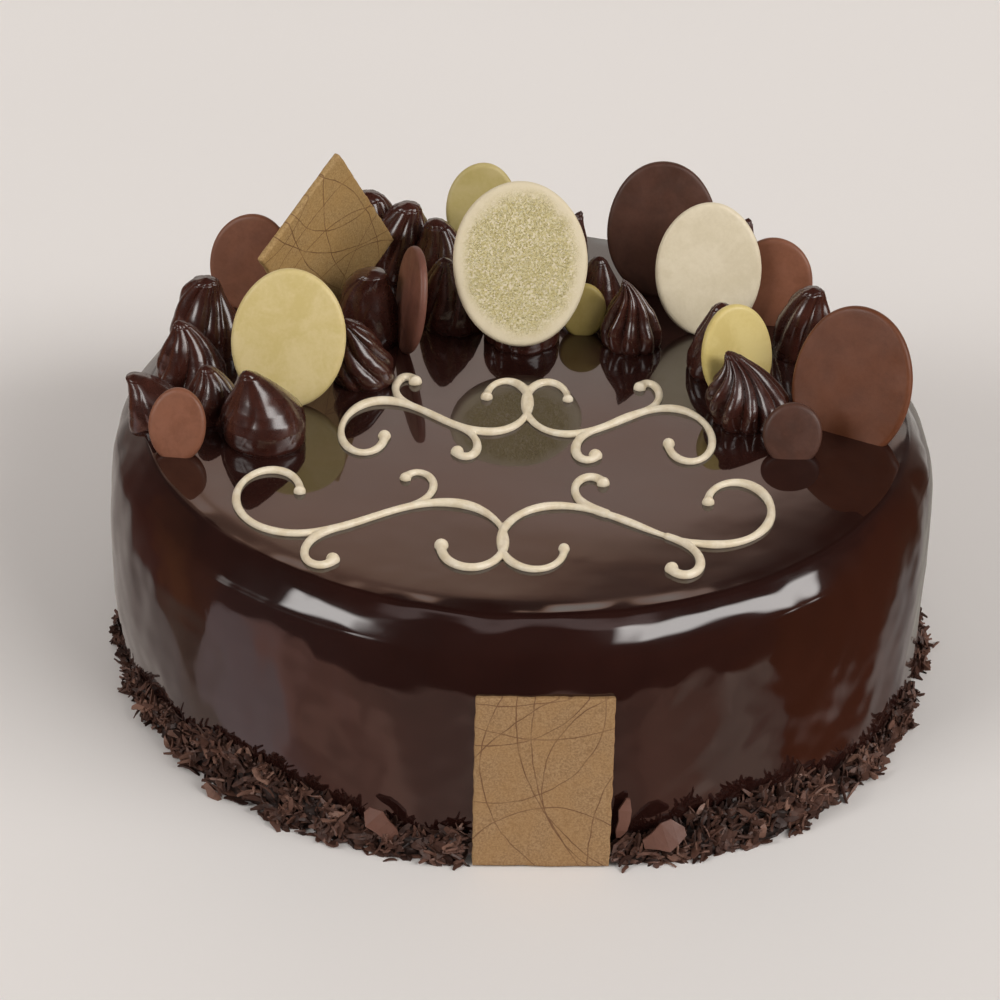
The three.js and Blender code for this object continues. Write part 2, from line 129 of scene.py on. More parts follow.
class Nodes:
    """A node tree built up call by call; sockets are given as node outputs or plain values."""

    def __init__(self, tree):
        self.tree = tree

    def new(self, kind, props=None, **inputs):
        n = self.tree.nodes.new("ShaderNode" + kind)
        for k, v in (props or {}).items():
            setattr(n, k, v)
        for k, v in inputs.items():
            self.put(n, int(k[1:]) if k[0] == "i" and k[1:].isdigit() else k.replace("_", " "), v)
        return n

    def put(self, n, key, v):
        s = n.inputs[key]
        if isinstance(v, bpy.types.NodeSocket):
            self.tree.links.new(v, s)
        elif isinstance(v, bpy.types.Node):
            self.tree.links.new(v.outputs[0], s)
        else:
            s.default_value = v

    def math(self, op, a, b=0.0, c=None):
        n = self.new("Math", {"operation": op}, i0=a, i1=b)
        if c is not None:
            self.put(n, 2, c)
        return n.outputs[0]

    def vec(self, op, a, b=(0, 0, 0)):
        n = self.new("VectorMath", {"operation": op}, i0=a, i1=b)
        return n.outputs["Value"] if op in ("DOT_PRODUCT", "DISTANCE", "LENGTH") else n.outputs["Vector"]

    def range(self, v, a, b, c=0.0, d=1.0, smooth=True):
        return self.new("MapRange", {"interpolation_type": "SMOOTHSTEP" if smooth else "LINEAR", "clamp": True},
                        i0=v, i1=a, i2=b, i3=c, i4=d).outputs[0]

    def mix(self, f, a, b, blend="MIX"):
        n = self.new("Mix", {"data_type": "RGBA", "blend_type": blend, "clamp_factor": True}, i0=f)
        self.put(n, 6, a)
        self.put(n, 7, b)
        return n.outputs[2]

    def ramp(self, v, stops, interpolation="EASE"):
        n = self.new("ValToRGB", None, i0=v)
        r = n.color_ramp
        r.interpolation = interpolation
        while len(r.elements) < len(stops):
            r.elements.new(0.5)
        for e, (p, c) in zip(r.elements, stops):
            e.position = p
            e.color = (*c, 1) if hasattr(c, "__len__") else (c, c, c, 1)
        return n.outputs[0]

    def noise(self, vector, size_mm, detail=2.0, rough=0.5, distort=0.0):
        return self.new("TexNoise", {"noise_dimensions": "3D"}, Vector=vector, Scale=1.0 / (size_mm * MM),
                        Detail=detail, Roughness=rough, Distortion=distort).outputs[0]

    def bump(self, height, distance_mm, strength=1.0, normal=None):
        n = self.new("Bump", None, Height=height, Distance=distance_mm * MM, Strength=strength)
        if normal is not None:
            self.put(n, "Normal", normal)
        return n.outputs[0]


def rgb(r, g, b):
    """An 8-bit display colour as linear light."""
    return tuple(c / 12.92 if c <= 0.04045 else ((c + 0.055) / 1.055) ** 2.4 for c in (r / 255, g / 255, b / 255))


def rgba(*c):
    return (*rgb(*c), 1.0)


# World: a pale wall behind that ends just above what the flat top mirrors, dim rooms in front and
# at the sides, pale ground below, and soft boxes left and right of the camera.
world = bpy.data.worlds.new("studio")
scene.world = world
world.use_nodes = True
world.node_tree.nodes.clear()
w = Nodes(world.node_tree)
direction = w.new("TexCoord").outputs["Generated"]
dx, dy, dz = w.new("SeparateXYZ", None, i0=direction).outputs
elev = w.math("MULTIPLY", w.math("ARCSINE", dz), 180 / math.pi)
azim = w.math("MULTIPLY", w.math("ARCTAN2", dx, dy), 180 / math.pi)  # 0 behind the cake, 90 to its right
around_ = w.math("DIVIDE", w.math("ADD", azim, 180.0), 360.0)
drift_ = w.new("TexNoise", None, Vector=w.vec("ADD", direction, (2.0, 7.0, 1.0)), Scale=5.0, Detail=2.5, Roughness=0.55).outputs[0]
around_ = w.math("ADD", around_, w.math("MULTIPLY", w.math("SUBTRACT", drift_, 0.5), 0.055))


def bearing(*stops):
    return [((a + 180) / 360, c) for a, c in stops]


def height_(*stops):
    return [((e + 10) / 100, c) for e, c in stops]


wall = w.ramp(w.math("DIVIDE", w.math("ADD", elev, 10.0), 100.0), height_(
    (-10, (0.90, 0.85, 0.79)), (20, (0.93, 0.87, 0.80)), (27.6, (0.96, 0.85, 0.76)), (30, (0.95, 0.71, 0.61)),
    (31.5, (0.93, 0.62, 0.50)), (32.2, (0.72, 0.45, 0.32)), (33.0, (0.42, 0.24, 0.17)), (34.2, (0.29, 0.175, 0.12)),
    (40, (0.23, 0.14, 0.10)), (50, (0.14, 0.08, 0.065)), (58, (0.05, 0.035, 0.03)), (90, (0.04, 0.03, 0.028))), "LINEAR")
wall = w.mix(1.0, wall, (0.61, 0.61, 0.61, 1), "MULTIPLY")
right_fade = w.range(w.math("ADD", azim, w.math("MULTIPLY", w.math("SUBTRACT", elev, 31.0), 1.9)), 3.2, 7.0, 1.0, 0.07)
wall = w.mix(1.0, wall, right_fade, "MULTIPLY")
room = w.ramp(around_, bearing(
    (-180, (0.022, 0.012, 0.010)), (-160, (0.03, 0.018, 0.014)), (-142, (0.07, 0.040, 0.034)), (-120, (0.10, 0.062, 0.058)),
    (-102, (0.14, 0.082, 0.074)), (-86, (0.18, 0.070, 0.038)), (-74, (0.26, 0.098, 0.044)), (-62, (0.11, 0.038, 0.028)), (-48, (0.11, 0.06, 0.05)), (-36, (0.30, 0.25, 0.22)),
    (36, (0.16, 0.12, 0.10)), (48, (0.07, 0.028, 0.014)), (66, (0.12, 0.033, 0.012)), (88, (0.21, 0.056, 0.018)),
    (108, (0.21, 0.058, 0.018)), (122, (0.14, 0.045, 0.024)), (142, (0.08, 0.032, 0.022)), (164, (0.03, 0.014, 0.010)), (180, (0.022, 0.012, 0.010))), "LINEAR")
olive = w.math("MULTIPLY", w.range(elev, -26.0, -31.0), w.range(w.math("ABSOLUTE", w.math("ADD", azim, 76.0)), 20.0, 8.0))
room = w.mix(olive, room, (0.19, 0.130, 0.098, 1))
room = w.mix(w.range(elev, 0.0, 30.0), room, (0.035, 0.024, 0.020, 1))
gain = w.ramp(w.math("DIVIDE", w.math("ABSOLUTE", azim), 180.0), [
    (0.0, 0.97), (0.111, 0.93), (0.222, 0.78), (0.333, 0.67), (0.444, 0.59), (0.667, 0.51), (1.0, 0.49)], "LINEAR")
room = w.mix(1.0, room, gain, "MULTIPLY")
room = w.mix(w.range(w.math("ABSOLUTE", azim), 24.0, 38.0, 1.0, 0.0), room, wall)
blotch = w.new("TexNoise", None, Vector=direction, Scale=2.3, Detail=2.0, Roughness=0.5).outputs[0]
blotch_b = w.new("TexNoise", None, Vector=w.vec("ADD", direction, (4.0, 1.0, 2.0)), Scale=3.4, Detail=1.0).outputs[0]
ground = w.ramp(around_, bearing(
    (-180, (0.52, 0.33, 0.27)), (-160, (0.64, 0.41, 0.34)), (-142, (0.82, 0.46, 0.36)), (-122, (0.88, 0.45, 0.35)),
    (-110, (0.82, 0.46, 0.40)), (-103, (0.66, 0.50, 0.50)), (-92, (0.62, 0.48, 0.48)), (-80, (0.37, 0.28, 0.235)),
    (-62, (0.29, 0.235, 0.215)), (-40, (0.31, 0.265, 0.24)), (-20, (0.26, 0.23, 0.21)), (20, (0.22, 0.20, 0.175)),
    (40, (0.30, 0.26, 0.245)), (60, (0.50, 0.36, 0.31)), (80, (0.74, 0.50, 0.44)), (96, (0.50, 0.29, 0.24)),
    (104, (0.46, 0.26, 0.21)), (110, (0.92, 0.65, 0.53)), (121, (0.88, 0.62, 0.51)), (129, (0.52, 0.27, 0.20)),
    (160, (0.48, 0.28, 0.22)), (180, (0.52, 0.33, 0.27))), "LINEAR")
patchy = w.math("MAXIMUM", w.range(blotch, 0.38, 0.58, 0.62, 1.0), w.range(w.math("ABSOLUTE", azim), 60.0, 25.0))
ground = w.mix(1.0, w.mix(1.0, ground, patchy, "MULTIPLY"), gain, "MULTIPLY")
line = w.ramp(around_, bearing(
    (-180, 0.22), (-160, 0.23), (-140, 0.26), (-122, 0.25), (-106, 0.32), (-98, 0.31), (-91, 0.26), (-85, 0.16), (-80, 0.140),
    (-70, 0.145), (-66, 0.16), (-60, 0.19), (-50, 0.225), (-43, 0.40), (-30, 0.60), (12, 0.60), (24, 0.38), (30, 0.33), (40, 0.21),
    (60, 0.157), (80, 0.130), (94, 0.118), (102, 0.11), (110, 0.235), (124, 0.25), (134, 0.22), (150, 0.225), (180, 0.22)), "LINEAR")
ripple = w.new("TexNoise", None, Vector=w.vec("ADD", direction, (9.0, 2.0, 5.0)), Scale=9.0, Detail=2.0).outputs[0]
line = w.math("ADD", w.math("MULTIPLY", line, 100.0), w.math("ADD", w.math("MULTIPLY", blotch_b, 4.0), w.math("MULTIPLY", ripple, 3.0)))
below = w.range(w.math("SUBTRACT", elev, w.math("SUBTRACT", line, 53.5)), -2.0, 2.0, 1.0, 0.0)
room = w.mix(below, room, ground)
room = w.mix(1.0, room, (1.4, 1.4, 1.4, 1), "MULTIPLY")


def softbox(n, u, half_u, half_v, soft):
    n, u = Vector(n).normalized(), Vector(u)
    u = (u - n * u.dot(n)).normalized()
    v = n.cross(u)
    ahead = w.vec("DOT_PRODUCT", direction, tuple(n))
    safe = w.math("MAXIMUM", ahead, 1e-3)
    a = w.math("ABSOLUTE", w.math("DIVIDE", w.vec("DOT_PRODUCT", direction, tuple(u)), safe))
    b = w.math("ABSOLUTE", w.math("DIVIDE", w.vec("DOT_PRODUCT", direction, tuple(v)), safe))
    return w.math("MULTIPLY", w.math("MULTIPLY", w.range(a, half_u + soft, half_u), w.range(b, half_v + soft, half_v)),
                  w.math("GREATER_THAN", ahead, 0.05))


boxes = w.math("ADD", softbox((-0.708, -0.486, 0.512), (0.566, -0.824, 0), 0.165, 0.12, 0.10),
               softbox((0.750, -0.416, 0.515), (0.645, 0.637, -0.421), 0.43, 0.10, 0.10))
small = softbox((-0.947, -0.133, 0.292), (-0.139, 0.990, 0), 0.05, 0.03, 0.07)
panel = softbox((0, -0.559, 0.829), (1, 0, 0), 0.45, 0.05, 0.12)
mirrored = w.mix(1.0, room, w.mix(boxes, (0, 0, 0, 1), (4.5, 4.35, 4.25, 1)), "ADD")
mirrored = w.mix(1.0, mirrored, w.mix(small, (0, 0, 0, 1), (0.8, 0.76, 0.73, 1)), "ADD")
mirrored = w.mix(1.0, mirrored, w.mix(panel, (0, 0, 0, 1), (0.48, 0.38, 0.37, 1)), "ADD")
# dull surfaces also get an even fill, as pale studio surroundings give it
light = w.mix(1.0, room, (1.7, 1.7, 1.7, 1), "MULTIPLY")
light = w.mix(1.0, light, w.mix(boxes, (0.28, 0.27, 0.265, 1), (8.6, 8.3, 8.1, 1)), "ADD")
path = w.new("LightPath")
light = w.mix(path.outputs["Is Glossy Ray"], light, mirrored)
light = w.mix(path.outputs["Is Camera Ray"], light, (0.90, 0.89, 0.88, 1))
background = w.new("Background", None, Color=light, Strength=1.0)
w.new("OutputWorld", None, Surface=background.outputs[0])

# ------------------------------------------------------------------ mesh helpers


def waves(points, size, seed, n=16):
    """Smooth unevenness of about unit height at each point, with a given wavelength."""
    rng = np.random.default_rng(seed)
    k = rng.normal(size=(n, 3))
    k /= np.linalg.norm(k, axis=1)[:, None]
    k *= (2 * np.pi / size) * rng.uniform(0.6, 1.4, n)[:, None]
    return np.sin(np.asarray(points) @ k.T + rng.uniform(0, 2 * np.pi, n)).sum(1) * math.sqrt(2 / n)


def smoothstep(a, b, x):
    t = np.clip((x - a) / (b - a), 0, 1)
    return t * t * (3 - 2 * t)


def volume_sign(co, faces):
    total = 0.0
    for f in faces:
        f = np.asarray(f)
        for i in range(1, f.shape[1] - 1):
            a, b, c = co[f[:, 0]], co[f[:, i]], co[f[:, i + 1]]
            total += np.einsum("ij,ij->i", a, np.cross(b, c)).sum()
    return total


def piece(name, co, faces, mat, nodes=(), smooth=True, attributes=None):
    """A mesh piece in millimetres, turned to face outwards, riding on the root body."""
    co = np.asarray(co, float)
    faces = [np.asarray(f) for f in faces if len(f)]
    if volume_sign(co, faces) < 0:
        faces = [f[:, ::-1] for f in faces]
    me = bpy.data.meshes.new(name)
    me.from_pydata((co * MM).tolist(), [], [row for f in faces for row in f.tolist()])
    if smooth:
        me.shade_smooth()
    for key, values in (attributes or {}).items():
        values = np.asarray(values, np.float32)
        kind = "FLOAT" if values.ndim == 1 else "FLOAT_VECTOR"
        layer = me.attributes.new(key, kind, "POINT")
        layer.data.foreach_set("value" if kind == "FLOAT" else "vector", values.ravel())
    me.update()
    obj = bpy.data.objects.new(name, me)
    scene.collection.objects.link(obj)
    me.materials.append(mat)
    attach(obj, "root")
    if nodes:
        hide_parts(*nodes)
    return obj


def rings(co):
    """Points laid in rings (rings, around, 3), closed round and capped at both ends."""
    m, n, _ = co.shape
    i = np.arange(m - 1)[:, None] * n + np.arange(n)[None]
    j = np.arange(m - 1)[:, None] * n + (np.arange(n)[None] + 1) % n
    quads = np.stack([i, j, j + n, i + n], -1).reshape(-1, 4)
    pts = co.reshape(-1, 3)
    first, last = len(pts), len(pts) + 1
    pts = np.vstack([pts, co[0].mean(0), co[-1].mean(0)])
    a = np.arange(n)
    b = (a + 1) % n
    caps = np.concatenate([np.stack([np.full(n, first), b, a], -1),
                           np.stack([np.full(n, last), a + (m - 1) * n, b + (m - 1) * n], -1)])
    return pts, [quads, caps]


def placed(local, x, y, z, turn, lean):
    """Points of an upright piece: x right, y up its face, z out of its face."""
    a, t = math.radians(turn), math.radians(lean)
    right = np.array([math.cos(a), -math.sin(a), 0.0])
    out = np.array([-math.sin(a) * math.cos(t), -math.cos(a) * math.cos(t), math.sin(t)])
    up = np.cross(out, right)
    return np.array([x, y, z]) + local[:, :1] * right + local[:, 1:2] * up + local[:, 2:3] * out


# ------------------------------------------------------------------ materials


def material(name):
    mat = bpy.data.materials.new(name)
    mat.use_nodes = True
    mat.node_tree.nodes.clear()
    n = Nodes(mat.node_tree)
    shader = n.new("BsdfPrincipled")
    n.new("OutputMaterial", None, Surface=shader.outputs[0])
    n.shader = shader
    n.place = n.new("TexCoord").outputs["Object"]
    return mat, n


def glaze_material():
    mat, n = material("mirror_glaze")
    tone = n.noise(n.place, 34, 3, 0.55)
    n.put(n.shader, "Base Color", n.ramp(tone, [(0.30, (0.0160, 0.0053, 0.0042)), (0.72, (0.0230, 0.0075, 0.0057))]))
    n.put(n.shader, "Roughness", n.range(n.noise(n.place, 9, 2), 0.3, 0.7, 0.16, 0.24))
    n.put(n.shader, "Specular IOR Level", 0.1)
    n.put(n.shader, "Coat Weight", 1.0)
    n.put(n.shader, "Coat Roughness", 0.03)
    n.put(n.shader, "Coat IOR", 1.8)
    fine = n.bump(n.noise(n.place, 12, 1.5, 0.4), 0.05, 0.5)
    n.put(n.shader, "Normal", fine)
    n.put(n.shader, "Coat Normal", fine)
    return mat


def ganache_material():
    mat, n = material("piped_ganache")
    tone = n.noise(n.place, 5, 3, 0.6)
    n.put(n.shader, "Base Color", n.ramp(tone, [(0.3, (0.036, 0.0100, 0.0066)), (0.75, (0.058, 0.0165, 0.0105))]))
    n.put(n.shader, "Roughness", n.range(n.noise(n.place, 2.2, 2), 0.3, 0.7, 0.22, 0.34))
    n.put(n.shader, "Specular IOR Level", 0.3)
    n.put(n.shader, "Coat Weight", 1.0)
    n.put(n.shader, "Coat Roughness", 0.19)
    n.put(n.shader, "Coat IOR", 1.68)
    bump = n.bump(n.noise(n.place, 4.5, 2, 0.5), 0.10, 0.3)
    n.put(n.shader, "Normal", bump)
    n.put(n.shader, "Coat Normal", bump)
    return mat


def chocolate_material(name, dark, light, roughness, grain=0.03):
    """Cast chocolate: a soft satin face, clouded by slight bloom, finely uneven from its mould."""
    mat, n = material(name)
    cloud = n.noise(n.place, 9, 4, 0.6, 0.6)
    fine = n.noise(n.place, 0.9, 3, 0.6)
    tone = n.math("ADD", n.math("MULTIPLY", cloud, 0.75), n.math("MULTIPLY", fine, 0.25))
    n.put(n.shader, "Base Color", n.ramp(tone, [(0.34, dark), (0.66, light)]))
    n.put(n.shader, "Roughness", n.range(n.noise(n.place, 4, 3), 0.3, 0.7, roughness - 0.05, roughness + 0.08))
    n.put(n.shader, "Specular IOR Level", 0.4)
    soft = n.bump(n.noise(n.place, 5, 2), 0.12, 0.5)
    n.put(n.shader, "Normal", n.bump(n.noise(n.place, 0.5, 2, 0.6), grain, 0.6, soft))
    return mat


def speckled_material():
    """Ivory chocolate dusted with gold and cream grains, bare and paler at the rim."""
    mat, n = material("speckled_chocolate")
    local = n.new("Attribute", {"attribute_name": "local"}).outputs["Vector"]
    edge = n.new("Attribute", {"attribute_name": "edge"}).outputs["Fac"]
    grains = n.new("TexVoronoi", {"feature": "F1"}, Vector=local, Scale=2.3, Randomness=1.0)
    pick = n.new("SeparateXYZ", None, i0=grains.outputs["Color"]).outputs[0]
    fine = n.new("TexVoronoi", {"feature": "F1"}, Vector=local, Scale=4.2, Randomness=1.0)
    pick_fine = n.new("SeparateXYZ", None, i0=fine.outputs["Color"]).outputs[0]
    dust = n.range(n.math("ADD", n.math("MULTIPLY", n.noise(n.place, 6, 3, 0.6), 0.22), edge), 0.80, 1.03, 1.0, 0.08)
    cover = n.math("MULTIPLY", n.range(pick, 0.06, 0.22), dust)
    gold = n.ramp(pick, [(0.0, rgb(208, 198, 154)), (0.35, rgb(198, 184, 124)), (0.7, rgb(182, 168, 106)), (1.0, rgb(214, 205, 164))])
    gold = n.mix(n.math("MULTIPLY", pick_fine, 0.5), gold, (*rgb(226, 218, 184), 1))
    n.put(n.shader, "Base Color", n.mix(cover, (*rgb(219, 208, 180), 1), gold))
    n.put(n.shader, "Roughness", 0.62)
    n.put(n.shader, "Specular IOR Level", 0.35)
    height = n.math("MULTIPLY", n.math("ADD", n.range(grains.outputs["Distance"], 0.0, 0.55, 1.0, 0.0),
                                       n.math("MULTIPLY", n.range(fine.outputs["Distance"], 0.0, 0.5, 1.0, 0.0), 0.5)), cover)
    n.put(n.shader, "Normal", n.bump(height, 0.30, 0.9))
    return mat


def plaque_material(name, seed, w, h, tone=(1.0, 1.0, 1.0)):
    """Caramel-brown chocolate with a fine grain under a loose net of thin dark arcs."""
    mat, n = material(name)
    local = n.new("Attribute", {"attribute_name": "local"}).outputs["Vector"]
    rng = np.random.default_rng(seed)

    def toned(*c):
        return tuple(a * b for a, b in zip(rgb(*c), tone))

    wobble = n.new("TexNoise", None, Vector=local, Scale=0.11, Detail=2.0).outputs["Color"]
    p = n.vec("ADD", local, n.vec("MULTIPLY", n.vec("SUBTRACT", wobble, (0.5, 0.5, 0.5)), (1.6, 1.6, 0.0)))
    flat_p = n.vec("MULTIPLY", p, (1.0, 1.0, 0.0))
    near = None
    for i in range(11):
        through = rng.uniform((-0.46 * w, -0.46 * h), (0.46 * w, 0.46 * h))
        radius = rng.uniform(16, 70)
        angle = rng.uniform(0, 2 * math.pi)
        centre = (through[0] + radius * math.cos(angle), through[1] + radius * math.sin(angle), 0.0)
        d = n.math("ABSOLUTE", n.math("SUBTRACT", n.vec("DISTANCE", flat_p, centre), radius))
        near = d if near is None else n.math("MINIMUM", near, d)
    strength = n.range(n.new("TexNoise", None, Vector=local, Scale=0.16, Detail=2.0).outputs[0], 0.3, 0.65, 0.40, 0.85)
    line = n.math("MULTIPLY", n.range(near, 0.07, 0.21, 1.0, 0.0), strength)
    grain = n.noise(n.place, 0.55, 3, 0.7)
    cloud = n.noise(n.place, 8, 3, 0.6)
    base = n.ramp(grain, [(0.30, toned(140, 106, 72)), (0.70, toned(176, 142, 104))])
    base = n.mix(n.range(cloud, 0.35, 0.65, 0.0, 0.35), base, (*toned(168, 128, 82), 1))
    n.put(n.shader, "Base Color", n.mix(line, base, (*toned(104, 66, 44), 1)))
    n.put(n.shader, "Roughness", n.range(grain, 0.3, 0.7, 0.5, 0.62))
    n.put(n.shader, "Specular IOR Level", 0.35)
    height = n.math("SUBTRACT", n.math("MULTIPLY", grain, 0.6), n.math("MULTIPLY", line, 0.5))
    n.put(n.shader, "Normal", n.bump(height, 0.10, 0.5))
    return mat


def flake_material(name, stops, roughness):
    mat, n = material(name)
    tint = n.new("Attribute", {"attribute_name": "tint"}).outputs["Fac"]
    tone = n.math("ADD", tint, n.math("MULTIPLY", n.math("SUBTRACT", n.noise(n.place, 1.4, 3, 0.6), 0.5), 0.35))
    n.put(n.shader, "Base Color", n.ramp(tone, stops, "LINEAR"))
    n.put(n.shader, "Roughness", n.range(n.noise(n.place, 1.8, 2), 0.3, 0.7, roughness - 0.08, roughness + 0.10))
    n.put(n.shader, "Specular IOR Level", 0.4)
    n.put(n.shader, "Normal", n.bump(n.noise(n.place, 0.6, 3, 0.65), 0.08, 0.7))
    return mat


def cream_material():
    mat, n = material("piped_cream")
    tone = n.noise(n.place, 3, 3, 0.6)
    n.put(n.shader, "Base Color", n.ramp(tone, [(0.3, rgb(222, 208, 178)), (0.7, rgb(236, 226, 202))]))
    n.put(n.shader, "Roughness", n.range(n.noise(n.place, 1.5, 2), 0.3, 0.7, 0.34, 0.46))
    n.put(n.shader, "Coat Weight", 0.25)
    n.put(n.shader, "Coat Roughness", 0.2)
    n.put(n.shader, "Normal", n.bump(n.noise(n.place, 1.2, 2), 0.06, 0.5))
    return mat


GLAZE = glaze_material()
GANACHE = ganache_material()
CHOC = {
    "milk": chocolate_material("milk_chocolate", rgb(118, 74, 53), rgb(134, 87, 65), 0.42),
    "dark": chocolate_material("dark_chocolate", rgb(74, 48, 38), rgb(88, 58, 47), 0.42),
    "yellow": chocolate_material("yellow_chocolate", rgb(204, 186, 124), rgb(216, 199, 146), 0.40),
    "white": chocolate_material("white_chocolate", rgb(214, 203, 174), rgb(226, 216, 190), 0.42),
    "speckled": speckled_material(),
}
# single discs given their own darker or paler copy of a chocolate; on disc_yellow_tiny the darker copy is painted
# shade and on disc_dark_turned the paler copy is painted light
DISC_RETONES = {
    "disc_milk_right": chocolate_material("milk_chocolate_deep", rgb(99, 56, 33), rgb(112, 66, 42), 0.42),
    "disc_yellow_back": chocolate_material("yellow_chocolate_deep", rgb(182, 167, 105), rgb(193, 178, 124), 0.42),
    # darker copy of the yellow chocolate: painted shade on this disc
    "disc_yellow_tiny": chocolate_material("yellow_chocolate_painted_shade", rgb(166, 148, 82), rgb(177, 159, 96), 0.42),
    "disc_yellow_small": chocolate_material("yellow_chocolate_warm", rgb(202, 183, 112), rgb(212, 195, 128), 0.40),
    # paler copy of the dark chocolate: painted light on this disc's lit face
    "disc_dark_turned": chocolate_material("dark_chocolate_painted_light", rgb(104, 67, 56), rgb(123, 81, 67), 0.42),
}
CREAM = cream_material()
FLAKE_STOPS = [(0.0, rgb(38, 22, 17)), (0.35, rgb(70, 46, 37)), (0.7, rgb(99, 69, 57)), (1.0, rgb(130, 98, 83))]
FLAKES = flake_material("chocolate_flakes", FLAKE_STOPS, 0.50)
# the bed is the same chocolate shavings as the flakes, made darker as painted shade among and under the loose flakes
CORE = flake_material("flake_bed_painted_shade", [(0.0, rgb(24, 14, 10)), (1.0, rgb(46, 30, 24))], 0.60)
MILK_FLAKES = flake_material("milk_chocolate_flakes", [(0.0, rgb(84, 55, 45)), (1.0, rgb(118, 82, 69))], 0.48)

# ------------------------------------------------------------------ the glazed cake
# Slope of the profile at a length along it, from the edge of the flat top down to the widest
# radius: a small rolled edge, a gentle shelf, then a long round into the side.
SLOPE = [(0, 2), (0.6, 9), (1.2, 22), (1.8, 36), (2.4, 41), (3.0, 41), (4.0, 41.5), (5.0, 45), (6.2, 48), (7.6, 50.5), (9.0, 53.5),
         (10.2, 58.5), (12.4, 71), (16.2, 80.5), (22, 86), (29, 90)]


def rim_profile():
    s = np.linspace(0, SLOPE[-1][0], 900)
    keys = np.array(SLOPE, float)
    slope = np.radians(np.interp(s, keys[:, 0], keys[:, 1]))
    kernel = np.hanning(41)
    slope = np.convolve(np.pad(slope, 20, mode="edge"), kernel / kernel.sum(), "valid")
    ds = s[1] - s[0]
    r = np.concatenate([[0], np.cumsum(np.cos(slope[:-1]) * ds)])
    z = np.concatenate([[0], np.cumsum(np.sin(slope[:-1]) * ds)])
    return R_FLAT + r * (R_MAX - R_FLAT) / r[-1], CAKE_H - z * (CAKE_H - Z_MAX) / z[-1]


RIM_R, RIM_Z = rim_profile()


def side_radius(z):
    """Outer radius of the glazed side at a height, about its own centre."""
    z = np.asarray(z, float)
    low = R_MAX + (R_FOOT - R_MAX) * (1 - np.cos(np.clip((Z_MAX - z) / Z_MAX, 0, 1) * np.pi / 2))
    high = np.interp(z, RIM_Z[::-1], RIM_R[::-1])
    return np.where(z > Z_MAX, high, low)


def swell(a, column):
    away = np.degrees(np.asarray(a))[..., None] - np.array([row[0] for row in COLLAR_SWELLS])
    away -= 360 * np.round(away / 360)
    rows = np.array(COLLAR_SWELLS, float)
    return (rows[:, column] * np.exp(-(away / rows[:, 1]) ** 2)).sum(-1)


def sway(z):
    """How far the glaze carries the side off centre at a height."""
    return SWAY * smoothstep(0, 25, z) * (1 - smoothstep(57, CAKE_H, z))


def front_plane(x, z):
    """y of the front plaque's face."""
    a, t = math.radians(FRONT["turn"]), math.radians(FRONT["lean"])
    return (FRONT["y"] - PLAQUE_T / 2 / math.cos(t)) + np.tan(t) * z - math.tan(a) * (x - FRONT["x"])


def cake_body():
    around = 900
    inner = np.concatenate([np.linspace(0.6, R_FLAT - 6, 36), np.linspace(R_FLAT - 5, R_FLAT - 0.4, 12)])
    rim_s = np.unique(np.concatenate([np.arange(0, 160, 4), np.arange(160, 900, 12), [899]]))
    low_z = np.linspace(Z_MAX, 0.0, 34)[1:]
    r = np.concatenate([inner, RIM_R[rim_s], side_radius(low_z), [0.96 * R_FOOT]])
    z = np.concatenate([np.full(len(inner), CAKE_H), RIM_Z[rim_s], low_z, [0.0]])
    z = z - 0.13 * smoothstep(R_FLAT - 6.5, R_FLAT + 3, r) * (z > 60)
    a = np.linspace(0, 2 * np.pi, around, endpoint=False)
    co = np.stack([r[:, None] * np.cos(a), r[:, None] * np.sin(a), np.broadcast_to(z[:, None], (len(r), around))], -1)
    shape = co.shape
    p = co.reshape(-1, 3)
    radius = np.hypot(p[:, 0], p[:, 1])
    out = np.stack([p[:, 0] / np.maximum(radius, 1e-6), p[:, 1] / np.maximum(radius, 1e-6), np.zeros(len(p))], -1)
    # the pour leaves the side gently uneven and the top almost flat
    side = smoothstep(R_FLAT + 0.5, R_FLAT + 6, radius) * smoothstep(0, 3, p[:, 2])
    stretched = p * (1, 1, 0.62)
    wavy = 0.34 * waves(stretched, 46, 11) + 0.13 * waves(stretched, 21, 12) + 0.035 * waves(p, 9, 13)
    rim = smoothstep(R_FLAT - 4, R_FLAT + 1, radius) * (1 - smoothstep(R_FLAT + 4, R_FLAT + 8, radius))
    p = p + out * (side * wavy)[:, None]
    p[:, 0] += sway(p[:, 2])
    p[:, 2] += rim * (p[:, 2] > 30) * (0.10 * waves(p, 24, 14) + 0.02 * waves(p, 9, 15))
    top = (1 - smoothstep(R_FLAT - 6, R_FLAT, radius)) * (p[:, 2] > CAKE_H - 1)
    p[:, 2] += top * 0.045 * waves(p, 60, 16)
    # the front plaque is pressed into the glaze
    gap_x = np.maximum(np.abs((p[:, 0] - FRONT["x"]) / math.cos(math.radians(FRONT["turn"]))) - FRONT["w"] / 2, 0)
    gap_z = np.maximum(p[:, 2] - (FRONT["h"] + 0.5), 0)
    gap = np.hypot(gap_x, gap_z)
    limit = front_plane(p[:, 0], p[:, 2]) + 1.0 - 0.9 * gap
    pressed = (p[:, 1] < 0) & (p[:, 2] < CAKE_H - 4) & (np.abs(p[:, 0]) < 60)
    p[:, 1] = np.where(pressed, np.maximum(p[:, 1], limit), p[:, 1])
    pts, faces = rings(p.reshape(shape))
    return piece("glazed_cake", pts, faces, GLAZE, ["cake"])


cake_body()

# ------------------------------------------------------------------ discs and plaques


